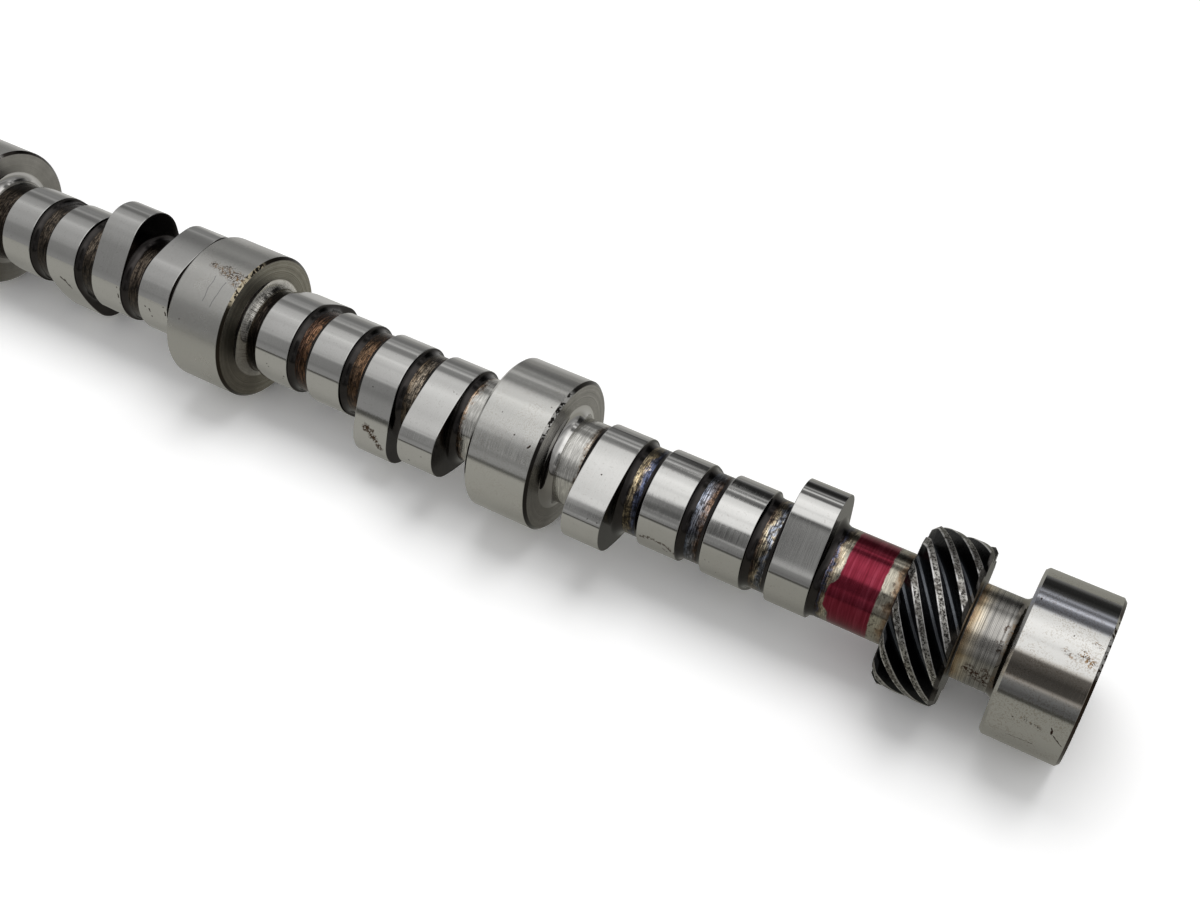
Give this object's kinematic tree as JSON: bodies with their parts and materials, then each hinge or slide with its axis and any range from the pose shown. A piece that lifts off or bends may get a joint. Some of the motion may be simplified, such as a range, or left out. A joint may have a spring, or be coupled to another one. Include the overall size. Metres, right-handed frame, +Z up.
{
  "type": "engine camshaft",
  "caption": "One-piece roller camshaft with plain bearing journals, ground cam lobes, a skew drive gear and a bolted sprocket nose with a dowel.",
  "frame": {"origin": "on the shaft's axis, in the middle of the front bearing journal", "axes": "+X along the shaft towards the skew gear, +Z up, +Y to the back"},
  "size_m": [0.528, 0.0474, 0.0474],
  "materials": {
    "ground_steel": "ground journals and lobes, turned shaft with heat tint, light rust and a red paint band",
    "dowel_steel": "ground and hardened"
  },
  "bodies": {
    "root": {"camshaft": "ground_steel", "dowel_pin": "dowel_steel"}
  },
  "joints": []
}
